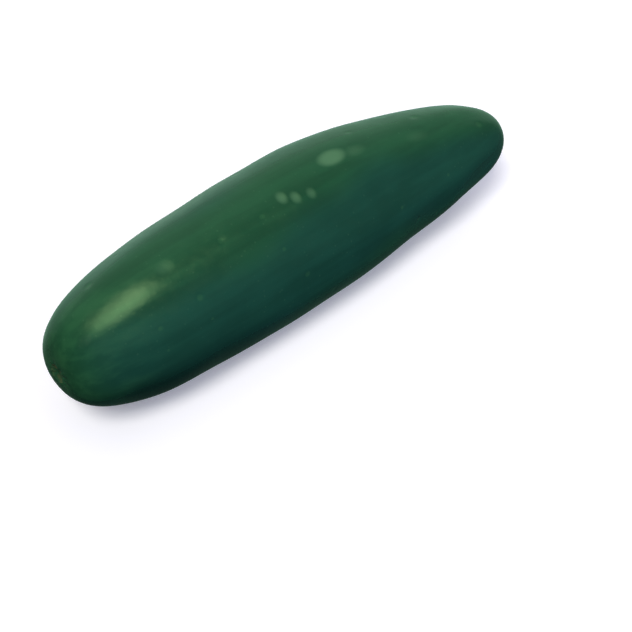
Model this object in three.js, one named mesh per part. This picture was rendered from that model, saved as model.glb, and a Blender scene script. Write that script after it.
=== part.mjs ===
// A whole slicing cucumber as picked, lying on its side: one solid fruit.
//
// Millimetres. +X runs along the fruit to its stem end, +Z is up, and the fruit
// rests on z = 0 with the middle of its footprint at the origin. The outline is
// revolved as a LatheGeometry, then each point is moved to bow the fruit, round
// its section into the soft triangle of three carpels, and flatten its belly.
import * as THREE from "three";

// Size.
const FRUIT_LENGTH = 206; // between the tips of the two rounded ends
const GIRTH_DIAMETER = 55; // across the widest place, as a round section
const WIDEST_AT = 0.46; // share of the length from the blossom end

// Each end falls away from the widest place as a superellipse.
const BLOSSOM_END = { taper: 2.3, bluntness: 3.1 };
const STEM_END = { taper: 1.8, bluntness: 2.4 };

// How the grown fruit departs from a straight, round spindle.
const BOW = 7.1; // how far the middle stands off a straight line between the ends
const S_BEND = 1.0; // sideways sway of the blossom half, and opposite, of the stem half
const BLOSSOM_LIFT = 2.4; // rise of the blossom end above the widest place's axis
const STEM_LIFT = 0.2;
const SWELL_HEIGHT = 0.52; // two gentle swellings along the length
const SWELL_AT = 0.06; // share of the length of the first swelling
const SWELLS = 2;
const CARPELS = 3;
const CARPEL_HEIGHT = 0.7; // how far each carpel's ridge stands out of the round
const BELLY_FLAT_DEPTH = 0.7; // how much of the belly its resting place has flattened

// The dry scar where the flower dropped off, a shallow dish in the blossom end.
const BLOSSOM_SCAR_RADIUS = 3.4;
const BLOSSOM_SCAR_DEPTH = 0.9;

// The cut stub of the stem, standing in a dimple of the stem end.
const STUB_RADIUS = 3.4;
const STUB_PROUD = 0.8; // past the tip of the rounded end
const STUB_CHAMFER = 0.5;
const STUB_FOOT_FLARE = 0.6;
const DIMPLE_WIDTH = 2.4; // from the stub's foot out to the dimple's rim
const DIMPLE_DEPTH = 0.8; // below its own rim

// Fineness of the mesh.
const STEPS_ALONG = 46;
const STEPS_AROUND = 64;

const SKIN_GREEN = 0x1f4e36;

/** Radius of the rounded body at a share of the length, 0 at the blossom end. */
function bodyRadius(share) {
  const towardStem = share > WIDEST_AT;
  const { taper, bluntness } = towardStem ? STEM_END : BLOSSOM_END;
  const reach = towardStem ? 1 - WIDEST_AT : WIDEST_AT;
  const away = Math.min(Math.abs(share - WIDEST_AT) / reach, 1);
  const fall = (1 - away ** taper) ** (1 / bluntness);
  const swell = SWELL_HEIGHT * Math.cos(2 * Math.PI * SWELLS * (share - SWELL_AT));
  return fall * (GIRTH_DIAMETER / 2 + swell);
}

/** How far along an end, from the widest place at 0 to the tip at 1, its radius has fallen to this one. */
function reachOf(radius, { taper, bluntness }) {
  return (1 - (radius / (GIRTH_DIAMETER / 2)) ** bluntness) ** (1 / taper);
}

/** Half of the outline, blossom end first: x is the radius, y the place along the fruit. */
function outline() {
  const dimpleRadius = STUB_RADIUS + STUB_FOOT_FLARE + DIMPLE_WIDTH;
  const first = WIDEST_AT * (1 - reachOf(BLOSSOM_SCAR_RADIUS, BLOSSOM_END));
  const last = WIDEST_AT + (1 - WIDEST_AT) * reachOf(dimpleRadius, STEM_END);
  const body = [];
  for (let step = 0; step <= STEPS_ALONG; step++) {
    const share = first + ((last - first) * (1 - Math.cos((Math.PI * step) / STEPS_ALONG))) / 2;
    body.push(new THREE.Vector2(bodyRadius(share), share * FRUIT_LENGTH));
  }
  return [...blossomScar(body[0]), ...body, ...stemStub(body[STEPS_ALONG])];
}

/** The scar's dish, from the axis out to just inside its rim. */
function blossomScar(rim) {
  const rings = 3;
  const dish = [];
  for (let ring = 0; ring < rings; ring++) {
    const share = ring / rings;
    const sunk = BLOSSOM_SCAR_DEPTH * (1 - share ** 2);
    dish.push(new THREE.Vector2(rim.x * share, rim.y + sunk));
  }
  return dish;
}

/** The dimple's floor and the stub that stands in it, from the dimple's rim to the axis. */
function stemStub(rim) {
  const floor = rim.y - DIMPLE_DEPTH;
  const tip = FRUIT_LENGTH + STUB_PROUD;
  const foot = STUB_RADIUS + STUB_FOOT_FLARE;
  return [
    new THREE.Vector2(foot + DIMPLE_WIDTH / 2, floor + DIMPLE_DEPTH / 4),
    new THREE.Vector2(foot, floor),
    new THREE.Vector2(STUB_RADIUS, floor + STUB_FOOT_FLARE),
    new THREE.Vector2(STUB_RADIUS, tip - STUB_CHAMFER),
    new THREE.Vector2(STUB_RADIUS - STUB_CHAMFER, tip),
    new THREE.Vector2(0, tip),
  ];
}

/** Where a point of the revolved outline lies on the grown fruit. */
function grown(radius, along, angle) {
  const share = along / FRUIT_LENGTH;
  const sway = BOW * (1 - (2 * share - 1) ** 2) - S_BEND * Math.sin(2 * Math.PI * share);
  const beforeWidest = Math.max(1 - share / WIDEST_AT, 0);
  const pastWidest = Math.max((share - WIDEST_AT) / (1 - WIDEST_AT), 0);
  const lift = BLOSSOM_LIFT * beforeWidest ** 2 + STEM_LIFT * pastWidest ** 2;
  const ridge = (CARPEL_HEIGHT / (GIRTH_DIAMETER / 2)) * Math.cos(CARPELS * (angle - Math.PI / 2));
  const reach = radius * (1 + ridge);
  return new THREE.Vector3(along, sway + reach * Math.cos(angle), lift + reach * Math.sin(angle));
}

/** The revolved outline with every point moved to its grown place, and the belly pressed flat. */
function fruitGeometry() {
  const geometry = new THREE.LatheGeometry(outline(), STEPS_AROUND);
  const places = geometry.getAttribute("position");
  const revolved = new THREE.Vector3();
  for (let i = 0; i < places.count; i++) {
    revolved.fromBufferAttribute(places, i);
    const radius = Math.hypot(revolved.x, revolved.z);
    const angle = Math.atan2(revolved.z, -revolved.x);
    places.setXYZ(i, ...grown(radius, revolved.y, angle));
  }
  geometry.computeBoundingBox();
  const belly = geometry.boundingBox.min.z + BELLY_FLAT_DEPTH;
  for (let i = 0; i < places.count; i++) {
    places.setZ(i, Math.max(places.getZ(i), belly));
  }
  geometry.computeBoundingBox();
  const { min, max } = geometry.boundingBox;
  geometry.translate(-(min.x + max.x) / 2, -(min.y + max.y) / 2, -belly);
  geometry.computeVertexNormals();
  return geometry;
}

const skin = new THREE.MeshStandardMaterial({ color: SKIN_GREEN, roughness: 0.38, metalness: 0 });
const fruit = new THREE.Mesh(fruitGeometry(), skin);
fruit.name = "cucumber";

const cucumber = new THREE.Group();
cucumber.add(fruit);

export default cucumber;
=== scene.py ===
"""The looks of a whole slicing cucumber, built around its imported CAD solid.

The skin is one closed mesh on the CAD's own outline, with ribs, swellings, warts and scars
as real relief. The fruit's own lengths are in millimetres here, as in the CAD, and become
metres when the mesh is made. Angles run round the fruit from +Y over the top.
"""

import math

import bmesh
import bpy
import numpy as np
from mathutils import Matrix, Vector


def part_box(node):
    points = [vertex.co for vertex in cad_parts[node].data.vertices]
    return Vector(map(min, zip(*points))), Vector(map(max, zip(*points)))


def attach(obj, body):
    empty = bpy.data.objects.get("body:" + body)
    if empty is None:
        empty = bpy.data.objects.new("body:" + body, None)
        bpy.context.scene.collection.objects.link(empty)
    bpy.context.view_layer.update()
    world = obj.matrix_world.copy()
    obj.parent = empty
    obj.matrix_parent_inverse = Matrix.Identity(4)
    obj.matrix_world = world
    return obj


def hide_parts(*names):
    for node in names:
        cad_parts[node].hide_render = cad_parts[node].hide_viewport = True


MM = 0.001
NODE = "cucumber"

# The CAD's outline and growth.
FRUIT_LENGTH = 206.0
GIRTH_RADIUS = 27.5
WIDEST_AT = 0.46
BLOSSOM_END = {"taper": 2.3, "bluntness": 3.1}
STEM_END = {"taper": 1.8, "bluntness": 2.4}
BOW = 7.1
S_BEND = 1.0
BLOSSOM_LIFT = 2.4
STEM_LIFT = 0.2
SWELL_HEIGHT = 0.52
SWELL_AT = 0.06
SWELLS = 2
CARPELS = 3
CARPEL_HEIGHT = 0.7
BELLY_FLAT_DEPTH = 0.7
SCAR_RADIUS = 3.4
SCAR_DEPTH = 0.9
STUB_RADIUS = 3.4
STUB_PROUD = 0.8
STUB_CHAMFER = 0.5
STUB_FOOT_FLARE = 0.6
DIMPLE_WIDTH = 2.4
DIMPLE_DEPTH = 0.8
DIMPLE_RISE = DIMPLE_DEPTH / 4  # of its floor, halfway out to its rim

# Colour bands of the skin, which are partly painted cool shade, and the painted shade on its
# underside.
FURROW_TURN = math.radians(162)  # the middle of one of the bluish bands between the carpels, on the flank, where its bluish tone is partly painted cool shade
FURROW_EDGES = (-0.8, 0.6)  # on the wave round the fruit, where a band begins and is full
FURROW_WAVERS = ((0.12, 1.7, 1.0), (0.05, 5, 0.0))  # how far, waves in the length, shifted by
FURROW_STARTS = (0.0, 0.07)  # shares of the length over which the bands fade in
FURROW_STOPS = (0.0, 0.05)  # and out, from the stem end
PAINTED_SHADE_STARTS = np.radians((165, 200))  # where round the fruit the painted shade on its underside fades in
PAINTED_SHADE_STOPS = np.radians((300, 330))
PAINTED_SHADE_FADES_IN = (0.03, 0.10)  # and where along it
PAINTED_SHADE_FADES_OUT = (0.12, 0.42)

# Fineness of the skin's mesh.
AROUND = 216
BODY_RINGS = 396
SCAR_RINGS = 16
STUB_RINGS = 30
STUB_EASING = 2  # passes over the stub's corners
OUTLINE_STEPS = 4000

# Relief on the CAD's smooth body.
RELIEF_FADES_OVER = 16.0  # at each end of the body
RIBS = ((10, 0.15, 0.6), (7, 0.10, 2.1))  # how many round the fruit, height, turned by
RIB_WANDER = 0.16  # how far the ribs sway round the fruit, in radians
LUMP_WAVES = 16
LUMP_HEIGHT = 0.045  # of each wave
LUMP_LENGTHS = (26.0, 70.0)
WARTS = 70
WART_RADII = (1.1, 2.3)
WART_SLOPE = 0.08  # height for a radius of one
WART_STRETCH = (1, 1.5)  # length for a width of one
WART_GAP = 9.0
WARTS_FROM = 0.04  # share of the length where they begin
WARTS_ALONG = 0.92  # share of the length that they take up
WARTS_CROWDING = 0.8  # under 1 for more of them towards the stem end
SCAR_PUCKERS = 9
PUCKER_HEIGHT = 0.13
PUCKER_WIDTH = 1.8
PUCKER_UNEVENNESS = 2
STUB_CORNERS = 5
CORNER_HEIGHT = 0.22
SEED = 11

# Swellings that catch the light, with a pale tone that is partly the skin's own and partly a painted
# highlight, as (share of the length, degrees round the fruit, half length, half width, height, how
# strong that pale tone is there).
PAINTED_HIGHLIGHT_SWELLINGS = (
    (0.584, 101, 7.4, 4.0, 0.26, 1.0),
    (0.632, 104, 6.0, 3.0, 0.16, 0.35),
    (0.770, 112, 7.0, 3.2, 0.15, 0.25),
    (0.451, 110, 2.6, 3.2, 0.22, 0.65),
    (0.472, 115, 2.5, 3.0, 0.22, 0.62),
    (0.502, 118, 2.4, 2.8, 0.20, 0.5),
    (0.204, 107, 4.5, 3.6, 0.22, 0.35),
)

SKIN, SCAR, STUB, CUT = range(4)


# ---------------------------------------------------------------- the outline


def body_radius(share):
    """Radius of the rounded body at shares of the length, 0 at the blossom end."""
    before = np.clip(1 - share / WIDEST_AT, 0, 1)
    past = np.clip((share - WIDEST_AT) / (1 - WIDEST_AT), 0, 1)
    blossom = (1 - before ** BLOSSOM_END["taper"]) ** (1 / BLOSSOM_END["bluntness"])
    stem = (1 - past ** STEM_END["taper"]) ** (1 / STEM_END["bluntness"])
    swell = SWELL_HEIGHT * np.cos(2 * np.pi * SWELLS * (share - SWELL_AT))
    return blossom * stem * (GIRTH_RADIUS + swell)


def reach_of(radius, end):
    """How far along an end, from the widest place at 0 to the tip at 1, this radius is reached."""
    return (1 - (radius / GIRTH_RADIUS) ** end["bluntness"]) ** (1 / end["taper"])


def spread(line, count):
    """count points spaced evenly along a line of (radius, along) points."""
    steps = np.hypot(*np.diff(line, axis=0).T)
    travelled = np.concatenate([[0], np.cumsum(steps)])
    wanted = np.linspace(0, travelled[-1], count)
    return np.stack([np.interp(wanted, travelled, column) for column in line.T], axis=1)


def rounded(line, passes):
    """The line with its corners eased and its two ends kept."""
    for _ in range(passes):
        line[1:-1] = (line[:-2] + 2 * line[1:-1] + line[2:]) / 4
    return line


def body_line():
    """The body's half outline, from the blossom scar's rim to the stem dimple's rim."""
    dimple_radius = STUB_RADIUS + STUB_FOOT_FLARE + DIMPLE_WIDTH
    first = WIDEST_AT * (1 - reach_of(SCAR_RADIUS, BLOSSOM_END))
    last = WIDEST_AT + (1 - WIDEST_AT) * reach_of(dimple_radius, STEM_END)
    share = first + (last - first) * (1 - np.cos(np.linspace(0, np.pi, OUTLINE_STEPS))) / 2
    return spread(np.stack([body_radius(share), share * FRUIT_LENGTH], axis=1), BODY_RINGS)


def scar_line(rim):
    """The blossom scar's dish, from the axis out to just inside its rim."""
    out = np.linspace(0, 1, SCAR_RINGS, endpoint=False)
    return np.stack([rim[0] * out, rim[1] + SCAR_DEPTH * (1 - out**2)], axis=1)


def stub_line(rim):
    """The dimple's floor and the stub that stands in it, from just inside the rim to the axis."""
    floor = rim[1] - DIMPLE_DEPTH
    tip = FRUIT_LENGTH + STUB_PROUD
    foot = STUB_RADIUS + STUB_FOOT_FLARE
    corners = np.array([
        rim,
        (foot + DIMPLE_WIDTH / 2, floor + DIMPLE_RISE),
        (foot, floor),
        (STUB_RADIUS, floor + STUB_FOOT_FLARE),
        (STUB_RADIUS, tip - STUB_CHAMFER),
        (STUB_RADIUS - STUB_CHAMFER, tip),
        (0, tip),
    ])
    return rounded(spread(corners, STUB_RINGS), STUB_EASING)[1:]


def outline():
    """Half of the outline as (radius, along) from tip to tip, and the zone of each of its rings."""
    body = body_line()
    scar = scar_line(body[0])
    stub = stub_line(body[-1])
    zones = np.full(len(stub), SKIN)
    zones[stub[:, 0] < STUB_RADIUS + STUB_FOOT_FLARE] = STUB
    zones[(stub[:, 0] < STUB_RADIUS - STUB_CHAMFER / 2) & (stub[:, 1] > FRUIT_LENGTH)] = CUT
    zones = np.concatenate([np.full(len(scar), SCAR), np.full(len(body), SKIN), zones])
    return np.concatenate([scar, body, stub]), zones


# ---------------------------------------------------------------- growth and relief


def grown(radius, along, angle):
    """Where points of the revolved outline lie on the grown fruit."""
    share = along / FRUIT_LENGTH
    sway = BOW * (1 - (2 * share - 1) ** 2) - S_BEND * np.sin(2 * np.pi * share)
    before = np.clip(1 - share / WIDEST_AT, 0, None)
    past = np.clip((share - WIDEST_AT) / (1 - WIDEST_AT), 0, None)
    lift = BLOSSOM_LIFT * before**2 + STEM_LIFT * past**2
    ridge = CARPEL_HEIGHT / GIRTH_RADIUS * np.cos(CARPELS * (angle - np.pi / 2))
    reach = radius * (1 + ridge)
    across = sway + reach * np.cos(angle)
    up = lift + reach * np.sin(angle)
    return np.stack([along + 0 * angle, across, up], axis=-1)


def outward(grid):
    """Unit normals of a grid of points, rings by angles."""
    along = np.gradient(grid, axis=0)
    around = np.roll(grid, -1, axis=1) - np.roll(grid, 1, axis=1)
    cross = np.cross(along, around)
    cross[0] = (-1, 0, 0)
    cross[-1] = (1, 0, 0)
    return cross / np.linalg.norm(cross, axis=-1, keepdims=True)


def smooth_step(low, high, value):
    """0 below low, 1 above high, and an easy slope between."""
    share = np.clip((value - low) / (high - low), 0, 1)
    return share * share * (3 - 2 * share)


def rib_relief(share, angle):
    """Shallow lengthwise ribs."""
    wander = RIB_WANDER * np.sin(2 * np.pi * share)
    return sum(height * np.cos(count * (angle + wander) + turn) for count, height, turn in RIBS)


def lump_relief(along, angle, draw):
    """Low, broad unevenness, as a sum of waves that close round the fruit."""
    relief = 0
    for _ in range(LUMP_WAVES):
        wave = 2 * np.pi / draw.uniform(*LUMP_LENGTHS)
        turns = draw.integers(0, 5)
        phase = draw.uniform(0, 2 * np.pi)
        relief = relief + LUMP_HEIGHT * np.cos(wave * along + turns * angle + phase)
    return relief


def furrow_bands_and_painted_shade(share, angle):
    """1 in the bluish bands between the carpels and 0 on their ridges, with wavering edges. The
    bands' bluish tone is partly the skin's own and partly painted cool shade.
    """
    waver = sum(far * np.sin(2 * np.pi * count * share + by) for far, count, by in FURROW_WAVERS)
    wave = np.cos(CARPELS * (angle - FURROW_TURN + waver))
    off_tips = smooth_step(*FURROW_STARTS, share) * smooth_step(*FURROW_STOPS, 1 - share)
    return off_tips * smooth_step(*FURROW_EDGES, wave)


def painted_underside_shade(share, angle):
    """1 where painted shade darkens the underside of the blossom half, 0 on the rest of the skin."""
    under = smooth_step(*PAINTED_SHADE_STARTS, angle) * (1 - smooth_step(*PAINTED_SHADE_STOPS, angle))
    return under * smooth_step(*PAINTED_SHADE_FADES_IN, share) * (1 - smooth_step(*PAINTED_SHADE_FADES_OUT, share))


def bump(radius, along, angle, share, turn, half_length, half_width):
    """A rounded swelling with its middle at this share and turn: 1 in its middle, 0 outside."""
    down = (along - share * FRUIT_LENGTH) / half_length
    aside = (angle - turn + np.pi) % (2 * np.pi) - np.pi
    away = down**2 + (aside * radius / half_width) ** 2
    return np.clip(1 - away, 0, 1)


def wart_places(draw):
    """Places of the small warts, closer together towards the stem end and none on a pale swelling."""
    taken = [(share, math.radians(degrees)) for share, degrees, *_ in PAINTED_HIGHLIGHT_SWELLINGS]
    places = []
    while len(places) < WARTS:
        share = WARTS_FROM + WARTS_ALONG * draw.uniform() ** WARTS_CROWDING
        turn = draw.uniform(0, 2 * np.pi)
        gaps = []
        for other, at in taken:
            aside = (turn - at + np.pi) % (2 * np.pi) - np.pi
            gaps.append(math.hypot((share - other) * FRUIT_LENGTH, aside * GIRTH_RADIUS))
        if min(gaps) > WART_GAP:
            taken.append((share, turn))
            places.append((share, turn))
    return places


def fruit_fields():
    """Every vertex ring by ring, with the fields that its materials read."""
    draw = np.random.default_rng(SEED)
    line, zones = outline()
    radius = line[:, :1]
    along = line[:, 1:]
    share = along / FRUIT_LENGTH
    angle = np.linspace(0, 2 * np.pi, AROUND, endpoint=False)[None, :]
    from_scar = along - line[SCAR_RINGS, 1]
    from_dimple = line[SCAR_RINGS + BODY_RINGS - 1, 1] - along
    on_body = (zones == SKIN)[:, None] * smooth_step(0, RELIEF_FADES_OVER, from_scar)
    on_body = on_body * smooth_step(0, RELIEF_FADES_OVER, from_dimple)

    relief = on_body * (rib_relief(share, angle) + lump_relief(along, angle, draw))
    warts = np.zeros((len(line), AROUND))
    for at, turn in wart_places(draw):
        size = draw.uniform(*WART_RADII)
        rise = bump(radius, along, angle, at, turn, size * draw.uniform(*WART_STRETCH), size)
        relief = relief + WART_SLOPE * size * rise**2
        warts = np.maximum(warts, rise)
    # The swellings' pale tone is partly the skin's own and partly a painted highlight.
    pale_and_painted_highlight = np.zeros((len(line), AROUND))
    for at, degrees, half_length, half_width, height, strength in PAINTED_HIGHLIGHT_SWELLINGS:
        turn = math.radians(degrees)
        rise = bump(radius, along, angle, at, turn, half_length, half_width)
        relief = relief + height * rise**2
        pale_and_painted_highlight = np.maximum(pale_and_painted_highlight, strength * rise)

    puckers = np.cos(SCAR_PUCKERS * angle + PUCKER_UNEVENNESS * np.sin(2 * angle))
    near_scar = np.exp(-(((radius - SCAR_RADIUS) / PUCKER_WIDTH) ** 2)) * (share < WIDEST_AT)
    relief = relief + PUCKER_HEIGHT * near_scar * puckers
    corners = CORNER_HEIGHT * np.cos(STUB_CORNERS * angle) * smooth_step(0, STUB_RADIUS, radius)
    relief = relief + corners * ((zones == STUB) | (zones == CUT))[:, None]

    grid = grown(radius, along, angle)
    fields = {
        "share": share + 0 * angle,
        # Bluish bands, partly the skin's own and partly painted cool shade.
        "furrow_and_painted_shade": furrow_bands_and_painted_shade(share, angle),
        # Painted shade on the underside of the blossom half.
        "belly": painted_underside_shade(share, angle),
        "wart": warts,
        # Pale tone on the swellings, partly the skin's own and partly a painted highlight.
        "pale_and_painted_highlight": pale_and_painted_highlight,
    }
    return grid, grid + outward(grid) * relief[..., None], zones, fields


# ---------------------------------------------------------------- the mesh


def placed(grid, relief_grid):
    """The relief's points in the frame, in metres: bedded, centred and sized as the CAD solid is."""
    low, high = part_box(NODE)
    first, last = grid.min(axis=(0, 1)), grid.max(axis=(0, 1))
    belly = first[2] + BELLY_FLAT_DEPTH
    scale = (high.x - low.x) / (last[0] - first[0])
    middle = np.array([(first[0] + last[0]) / 2, (first[1] + last[1]) / 2, belly])
    foot = np.array([(low.x + high.x) / 2, (low.y + high.y) / 2, low.z])
    points = (relief_grid - middle) * scale + foot
    points[..., 2] = np.maximum(points[..., 2], foot[2])
    return points


def ring_faces(rings):
    """Faces of a closed skin whose first and last rings are single points."""
    def at(ring, step):
        """The number of a vertex between the two single points."""
        return 1 + (ring - 1) * AROUND + step % AROUND

    last = 1 + (rings - 2) * AROUND
    faces = [(0, at(1, step + 1), at(1, step)) for step in range(AROUND)]
    for ring in range(1, rings - 2):
        for step in range(AROUND):
            here = at(ring, step), at(ring, step + 1)
            faces.append((*here, at(ring + 1, step + 1), at(ring + 1, step)))
    faces += [(at(rings - 2, step), at(rings - 2, step + 1), last) for step in range(AROUND)]
    return faces


def poled(field):
    """A field's values in vertex order: one for each end's point, and all of every ring between."""
    inner = field[1:-1].reshape(-1, *field.shape[2:])
    return np.concatenate([field[:1, 0], inner, field[-1:, 0]])


def make_fruit(materials):
    """The fruit as one object, with a material for each zone of its skin."""
    grid, relief_grid, zones, fields = fruit_fields()
    points = placed(grid, relief_grid)
    rings = len(grid)
    mesh = bpy.data.meshes.new("fruit")
    mesh.from_pydata(poled(points).tolist(), [], ring_faces(rings))
    for name, field in fields.items():
        mesh.attributes.new(name, "FLOAT", "POINT").data.foreach_set("value", poled(field))
    for material in materials:
        mesh.materials.append(material)
    face_zone = np.repeat(np.maximum(zones[:-1], zones[1:]), AROUND)
    face_zone[:SCAR_RINGS * AROUND] = SCAR
    mesh.polygons.foreach_set("material_index", face_zone.astype(np.int32))
    mesh.polygons.foreach_set("use_smooth", np.ones(len(mesh.polygons), bool))
    mesh.update()
    return add("fruit", mesh)


# ---------------------------------------------------------------- materials


class Nodes:
    """Short calls for making a material's nodes and links."""

    def __init__(self, name):
        self.material = bpy.data.materials.new(name)
        self.material.use_nodes = True
        self.tree = self.material.node_tree
        self.shader = self.tree.nodes["Principled BSDF"]

    def link(self, value, socket):
        """Leads another node's output to the socket, or sets the socket to a constant."""
        if isinstance(value, bpy.types.NodeSocket):
            self.tree.links.new(value, socket)
        else:
            socket.default_value = value

    def place(self, stretch=(1, 1, 1)):
        """The fruit's own coordinates, in metres, stretched."""
        coordinates = self.tree.nodes.new("ShaderNodeTexCoord").outputs["Object"]
        mapping = self.tree.nodes.new("ShaderNodeMapping")
        self.link(coordinates, mapping.inputs["Vector"])
        self.link(stretch, mapping.inputs["Scale"])
        return mapping.outputs["Vector"]

    def noise(self, grain, where=None, detail=3.0, roughness=0.5):
        """Noise from 0 to 1 with this grain, in millimetres."""
        node = self.tree.nodes.new("ShaderNodeTexNoise")
        self.link(self.place() if where is None else where, node.inputs["Vector"])
        self.link(1 / (grain * MM), node.inputs["Scale"])
        self.link(detail, node.inputs["Detail"])
        self.link(roughness, node.inputs["Roughness"])
        return node.outputs["Fac"]

    def cells(self, grain):
        """Distance from the middle of the nearest of many cells, in cells of this grain."""
        node = self.tree.nodes.new("ShaderNodeTexVoronoi")
        self.link(self.place(), node.inputs["Vector"])
        self.link(1 / (grain * MM), node.inputs["Scale"])
        return node.outputs["Distance"]

    def field(self, name):
        """One of the fields that the mesh carries."""
        node = self.tree.nodes.new("ShaderNodeAttribute")
        node.attribute_name = name
        return node.outputs["Fac"]

    def ranged(self, value, low, high, to_low=0.0, to_high=1.0):
        """value taken from low..high to to_low..to_high, eased at both ends."""
        node = self.tree.nodes.new("ShaderNodeMapRange")
        node.interpolation_type = "SMOOTHSTEP"
        for socket, number in zip(node.inputs, (value, low, high, to_low, to_high)):
            self.link(number, socket)
        return node.outputs["Result"]

    def maths(self, operation, *values):
        """One sum or product of values."""
        node = self.tree.nodes.new("ShaderNodeMath")
        node.operation = operation
        for socket, value in zip(node.inputs, values):
            self.link(value, socket)
        return node.outputs["Value"]

    def mix(self, share, first, second):
        """first where share is 0, second where it is 1."""
        node = self.tree.nodes.new("ShaderNodeMix")
        node.data_type = "RGBA"
        self.link(share, node.inputs["Factor"])
        self.link(first, node.inputs["A"])
        self.link(second, node.inputs["B"])
        return node.outputs["Result"]

    def bump(self, height, depth, under=None):
        """A normal from a height of 0 to 1 that is depth millimetres deep."""
        node = self.tree.nodes.new("ShaderNodeBump")
        self.link(height, node.inputs["Height"])
        node.inputs["Distance"].default_value = depth * MM
        node.inputs["Strength"].default_value = 1.0
        if under is not None:
            self.link(under, node.inputs["Normal"])
        return node.outputs["Normal"]

    def finish(self, colour, roughness, normal, **constants):
        """Gives the shader its colour, roughness and normal, and any other constants by name."""
        self.link(colour, self.shader.inputs["Base Color"])
        self.link(roughness, self.shader.inputs["Roughness"])
        self.link(normal, self.shader.inputs["Normal"])
        for name, value in constants.items():
            self.shader.inputs[name.replace("_", " ")].default_value = value
        return self.material


def shade(red, green, blue):
    """A display colour, 0 to 255 a channel, as Blender's linear colour."""
    def linear(value):
        value /= 255
        return value / 12.92 if value <= 0.04045 else ((value + 0.055) / 1.055) ** 2.4

    return (linear(red), linear(green), linear(blue), 1.0)


RIDGE_GREEN = shade(34, 82, 53)
RIDGE_SHADE = shade(29, 72, 47)
# Band colours: partly the skin's own, partly painted cool shade.
FURROW_AND_PAINTED_SHADE_GREEN = shade(30, 78, 61)
FURROW_AND_PAINTED_SHADE_DARK = shade(26, 70, 54)
# Painted shade for the underside of the blossom half, a near black green.
PAINTED_SHADE_GREEN = shade(8, 34, 30)
LEAF_GREEN = shade(58, 108, 66)
# Pale green of the freckles, and of the swellings, where it is partly a painted highlight.
PALE_GREEN = shade(84, 126, 88)
CORK = shade(52, 80, 50)
DRY_CORK = shade(92, 100, 66)
STEM_DARK = shade(52, 84, 48)
STEM_LIGHT = shade(96, 118, 66)
CUT_DARK = shade(120, 116, 72)
CUT_LIGHT = shade(172, 164, 116)

# Grains and depths in millimetres.
STREAK_GRAIN = 5.0
STREAK_STRETCH = (0.07, 1, 1)
CLOUD_GRAIN = 18.0
FRECKLE_GRAIN = 2.4
GLOSS_GRAIN = 3.0
SKIN_ROUGHNESS = (0.18, 0.26)
SKIN_MIRROR_TINT = (0.75, 1.0, 0.72, 1.0)
UNEVEN_GRAIN = 4.5
UNEVEN_DEPTH = 0.08
PORE_GRAIN = 0.7
PORE_DEPTH = 0.015
# How far the painted shade darkens the underside.
PAINTED_SHADE_DARKNESS = 0.6
CORK_GRAIN = 0.9
CORK_PATCHES = 2.2
CORK_DEPTH = 0.12
CORK_ROUGHNESS = (0.65, 0.85)
FIBRE_GRAIN = 0.6
FIBRE_DEPTH = 0.10
FIBRE_STRETCH = (0.2, 1, 1)
STEM_ROUGHNESS = (0.5, 0.65)
CUT_ROUGHNESS = (0.7, 0.85)


def skin_material():
    """Waxy dark green skin: broad bands that are partly painted cool shade, soft lengthwise streaks,
    cloudy mottling and fine pores, with painted shade on the underside and pale swellings that are
    partly painted highlights.
    """
    n = Nodes("cucumber_skin")
    streaks = n.noise(STREAK_GRAIN, n.place(STREAK_STRETCH))
    clouds = n.noise(CLOUD_GRAIN)
    blend = n.maths("ADD", n.maths("MULTIPLY", streaks, 0.6), n.maths("MULTIPLY", clouds, 0.4))
    tone = n.ranged(blend, 0.36, 0.66)
    ridges = n.mix(tone, RIDGE_SHADE, RIDGE_GREEN)
    furrows_and_painted_shade = n.mix(tone, FURROW_AND_PAINTED_SHADE_DARK, FURROW_AND_PAINTED_SHADE_GREEN)
    # The bluish bands, partly the skin's own and partly painted cool shade.
    colour = n.mix(n.field("furrow_and_painted_shade"), ridges, furrows_and_painted_shade)
    # Painted shade: the underside of the blossom half is darkened towards a near black green.
    colour = n.mix(n.maths("MULTIPLY", n.field("belly"), PAINTED_SHADE_DARKNESS), colour, PAINTED_SHADE_GREEN)
    near_blossom = n.ranged(n.field("share"), 0.0, 0.2, 0.25, 0.0)
    pale_streaks = n.maths("MULTIPLY", n.ranged(streaks, 0.4, 0.7), near_blossom)
    colour = n.mix(pale_streaks, colour, LEAF_GREEN)
    freckles = n.ranged(n.cells(FRECKLE_GRAIN), 0.0, 0.22, 0.15, 0.0)
    colour = n.mix(n.maths("MULTIPLY", freckles, n.ranged(clouds, 0.4, 0.6)), colour, PALE_GREEN)
    colour = n.mix(n.ranged(n.field("wart"), 0.55, 1.0, 0.0, 0.25), colour, LEAF_GREEN)
    # Pale tone on the swellings: partly the skin's own, partly a painted highlight.
    colour = n.mix(n.ranged(n.field("pale_and_painted_highlight"), 0.0, 0.9, 0.0, 0.8), colour, PALE_GREEN)
    gloss = n.ranged(n.noise(GLOSS_GRAIN, detail=4), 0.3, 0.7, *SKIN_ROUGHNESS)
    uneven = n.bump(n.noise(UNEVEN_GRAIN, detail=2), UNEVEN_DEPTH)
    pores = n.bump(n.noise(PORE_GRAIN, detail=2), PORE_DEPTH, under=uneven)
    return n.finish(colour, gloss, pores, IOR=1.45, Specular_Tint=SKIN_MIRROR_TINT)


def scar_material():
    """Dry, slightly corky skin where the flower dropped off."""
    n = Nodes("blossom_scar")
    grain = n.noise(CORK_GRAIN, detail=5, roughness=0.65)
    colour = n.mix(n.ranged(grain, 0.35, 0.7), CORK, DRY_CORK)
    colour = n.mix(n.ranged(n.noise(CORK_PATCHES), 0.35, 0.65), colour, RIDGE_GREEN)
    rough = n.ranged(grain, 0.3, 0.7, *CORK_ROUGHNESS)
    return n.finish(colour, rough, n.bump(grain, CORK_DEPTH))


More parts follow.
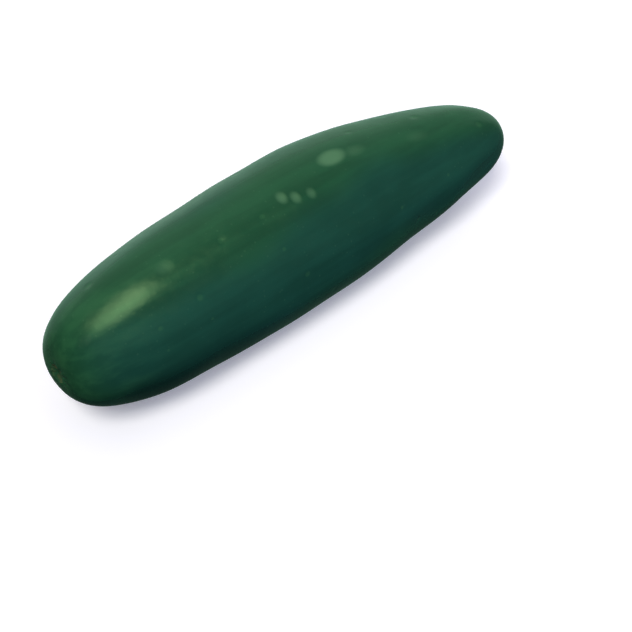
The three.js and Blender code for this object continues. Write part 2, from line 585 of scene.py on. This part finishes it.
def stub_material(name, darker, lighter, stretch, roughness):
    """Fibrous stem, or its cut face."""
    n = Nodes(name)
    fibres = n.noise(FIBRE_GRAIN, n.place(stretch), detail=4, roughness=0.6)
    colour = n.mix(n.ranged(fibres, 0.35, 0.65), darker, lighter)
    rough = n.ranged(fibres, 0.3, 0.7, *roughness)
    return n.finish(colour, rough, n.bump(fibres, FIBRE_DEPTH))


def fruit_materials():
    """The materials of the zones, in the zones' order."""
    return (
        skin_material(),
        scar_material(),
        stub_material("stem_stub", STEM_DARK, STEM_LIGHT, FIBRE_STRETCH, STEM_ROUGHNESS),
        stub_material("stem_cut", CUT_DARK, CUT_LIGHT, (1, 1, 1), CUT_ROUGHNESS),
    )


# ---------------------------------------------------------------- the studio

# The camera turns about the fruit's middle, and aims a little to one side of it. Metres.
VIEW_AZIMUTH = math.radians(-42.36)
VIEW_ELEVATION = math.radians(42)
VIEW_DISTANCE = 0.501
AIM_HEIGHT = 0.028
AIM_RIGHT = 0.01033
AIM_UP = -0.03118
LENS = 80
CLIP_START = 0.01

# The lamps: the way that their light comes from, strength, spread and colour.
KEY_FROM = Vector((-0.48, -0.33, 0.81))
KEY_STRENGTH = 2.15
KEY_SPREAD = math.radians(22)
KEY_COLOUR = (1.0, 1.0, 0.95)
FILL_FROM = Vector((0.55, -0.15, 0.82))
FILL_STRENGTH = 1.46
FILL_SPREAD = math.radians(150)
FILL_COLOUR = (0.97, 0.97, 1.13)
BOUNCE_FROM = Vector((0.30, -0.94, 0.12))
BOUNCE_STRENGTH = 0.80
BOUNCE_SPREAD = math.radians(90)
BOUNCE_COLOUR = (0.20, 0.40, 1.0)
UNDER_FROM = Vector((-0.30, 0.80, -0.50))
UNDER_STRENGTH = 0.35
UNDER_SPREAD = math.radians(60)
UNDER_COLOUR = (0.85, 1.0, 1.0)

# The mirrored lamp: the middles of its two ends and its width, in metres.
STRIP_ENDS = (Vector((0.17, -0.16, 1.02)), Vector((-0.39, -0.27, 0.92)))
STRIP_WIDTH = 1.0
STRIP_LOOKS = Vector((-0.25, 0.17, -0.97)).normalized()
STRIP_SPREAD = math.radians(84)
STRIP_POWER = 2.4
STRIP_COLOUR = (0.80, 0.98, 0.60)

BACK_WALL = Vector((0.52, 0.81, 0.25)).normalized()  # the way to the bright side of the studio
# How far a direction faces that side, from -1 to 1, and what the skin mirrors there.
WALL_STEPS = (
    (-0.3, (0.01, 0.016, 0.022)),
    (0.40, (0.06, 0.11, 0.08)),
    (0.65, (0.26, 0.46, 0.34)),
    (0.90, (0.40, 0.68, 0.51)),
)

FLOOR_HALF_WIDTH = 6.0
FLOOR_DROP = 0.05 * MM  # below the fruit's belly, so that they share no plane
FLOOR_COLOUR = (0.92, 0.90, 0.90, 1)
FLOOR_GLOW = (0.92, 0.92, 1.0, 1)
FLOOR_GLOW_STRENGTH = 0.27
ROOM_RADIUS = 8.0
ROOM_FINENESS = 4
ROOM_GLOW_STRENGTH = 1.0
BLACK = (0, 0, 0, 1)
WHITE = (1, 1, 1, 1)


def add(name, data):
    """A new object in the scene."""
    thing = bpy.data.objects.new(name, data)
    bpy.context.scene.collection.objects.link(thing)
    return thing


def aimed(thing, direction):
    """Turns a lamp or camera to look along a direction."""
    thing.rotation_euler = direction.to_track_quat("-Z", "Y").to_euler()


def make_camera():
    """The camera at the pictured viewing angle."""
    back = Vector((
        math.sin(VIEW_AZIMUTH) * math.cos(VIEW_ELEVATION),
        -math.cos(VIEW_AZIMUTH) * math.cos(VIEW_ELEVATION),
        math.sin(VIEW_ELEVATION),
    ))
    right = Vector((math.cos(VIEW_AZIMUTH), math.sin(VIEW_AZIMUTH), 0))
    up = back.cross(right)
    aim = Vector((0, 0, AIM_HEIGHT)) + right * AIM_RIGHT + up * AIM_UP
    data = bpy.data.cameras.new("camera")
    data.lens = LENS
    data.clip_start = CLIP_START
    camera = add("camera", data)
    camera.location = aim + back * VIEW_DISTANCE
    aimed(camera, -back)
    bpy.context.scene.camera = camera


def make_sun(name, come_from, strength, spread, colour, shadow):
    """A broad distant lamp that lights surfaces and isn't mirrored in them."""
    data = bpy.data.lights.new(name, "SUN")
    data.energy = strength
    data.angle = spread
    data.color = colour
    data.use_shadow = shadow
    lamp = add(name, data)
    lamp.visible_glossy = False
    aimed(lamp, -come_from)


def make_strip_light():
    """A long soft lamp overhead that is only mirrored, in the shoulder of the blossom end."""
    first, last = STRIP_ENDS
    middle = (first + last) / 2
    data = bpy.data.lights.new("strip", "AREA")
    data.shape = "RECTANGLE"
    data.size = (first - last).length
    data.size_y = STRIP_WIDTH
    data.spread = STRIP_SPREAD
    data.energy = STRIP_POWER
    data.color = STRIP_COLOUR
    lamp = add("strip", data)
    along = first - last
    along = (along - STRIP_LOOKS * along.dot(STRIP_LOOKS)).normalized()
    across = STRIP_LOOKS.cross(along)
    turn = Matrix((along, -across, -STRIP_LOOKS)).transposed()
    lamp.matrix_world = Matrix.Translation(middle) @ turn.to_4x4()
    lamp.visible_diffuse = False
    lamp.visible_camera = False


def make_world():
    """What the skin mirrors: a bright back wall, fading to near black in front and below."""
    world = bpy.data.worlds.new("studio")
    world.use_nodes = True
    bpy.context.scene.world = world
    tree = world.node_tree
    direction = tree.nodes.new("ShaderNodeTexCoord").outputs["Generated"]
    facing = tree.nodes.new("ShaderNodeVectorMath")
    facing.operation = "DOT_PRODUCT"
    facing.inputs[1].default_value = BACK_WALL
    share = tree.nodes.new("ShaderNodeMapRange")
    share.inputs["From Min"].default_value = -1
    ramp = tree.nodes.new("ShaderNodeValToRGB")
    tree.links.new(direction, facing.inputs[0])
    tree.links.new(facing.outputs["Value"], share.inputs["Value"])
    tree.links.new(share.outputs["Result"], ramp.inputs["Fac"])
    steps = ramp.color_ramp.elements
    while len(steps) < len(WALL_STEPS):
        steps.new(0.5)
    for step, (facing_at, colour) in zip(steps, WALL_STEPS):
        step.position = (facing_at + 1) / 2
        step.color = (*colour, 1)
    tree.links.new(ramp.outputs["Color"], tree.nodes["Background"].inputs["Color"])
    world.cycles_visibility.diffuse = False


def only_seen_by_camera(thing):
    """Keeps a stage piece out of the light on the fruit and out of its reflections."""
    thing.visible_diffuse = False
    thing.visible_glossy = False
    thing.visible_shadow = False


def matte(name, colour, glow, strength):
    """A material with no gloss that also glows."""
    material = bpy.data.materials.new(name)
    material.use_nodes = True
    shader = material.node_tree.nodes["Principled BSDF"]
    shader.inputs["Base Color"].default_value = colour
    shader.inputs["Roughness"].default_value = 1.0
    shader.inputs["Specular IOR Level"].default_value = 0.0
    shader.inputs["Emission Color"].default_value = glow
    shader.inputs["Emission Strength"].default_value = strength
    return material


def make_floor():
    """A plain pale floor that takes the fruit's shadow."""
    mesh = bpy.data.meshes.new("floor")
    side = FLOOR_HALF_WIDTH
    corners = [(-side, -side), (side, -side), (side, side), (-side, side)]
    mesh.from_pydata([(x, y, -FLOOR_DROP) for x, y in corners], [], [(0, 1, 2, 3)])
    mesh.materials.append(matte("floor", FLOOR_COLOUR, FLOOR_GLOW, FLOOR_GLOW_STRENGTH))
    only_seen_by_camera(add("floor", mesh))


def make_room():
    """A pale wall all round, far behind everything."""
    ball = bmesh.new()
    bmesh.ops.create_icosphere(ball, subdivisions=ROOM_FINENESS, radius=ROOM_RADIUS)
    mesh = bpy.data.meshes.new("room")
    ball.to_mesh(mesh)
    ball.free()
    mesh.materials.append(matte("room", BLACK, WHITE, ROOM_GLOW_STRENGTH))
    only_seen_by_camera(add("room", mesh))


# ---------------------------------------------------------------- the scene

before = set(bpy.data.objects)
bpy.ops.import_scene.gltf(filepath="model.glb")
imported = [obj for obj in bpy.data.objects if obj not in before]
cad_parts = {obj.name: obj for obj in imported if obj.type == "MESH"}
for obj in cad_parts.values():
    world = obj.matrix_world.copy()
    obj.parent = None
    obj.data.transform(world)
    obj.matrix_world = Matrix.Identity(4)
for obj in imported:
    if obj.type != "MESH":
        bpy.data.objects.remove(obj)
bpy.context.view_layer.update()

make_camera()
make_sun("key", KEY_FROM, KEY_STRENGTH, KEY_SPREAD, KEY_COLOUR, shadow=True)
make_sun("fill", FILL_FROM, FILL_STRENGTH, FILL_SPREAD, FILL_COLOUR, shadow=False)
make_sun("bounce", BOUNCE_FROM, BOUNCE_STRENGTH, BOUNCE_SPREAD, BOUNCE_COLOUR, shadow=False)
make_sun("under", UNDER_FROM, UNDER_STRENGTH, UNDER_SPREAD, UNDER_COLOUR, shadow=False)
make_strip_light()
make_world()
make_floor()
make_room()
bpy.context.scene.view_settings.view_transform = "Standard"

fruit = make_fruit(fruit_materials())
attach(fruit, "root")
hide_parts(NODE)
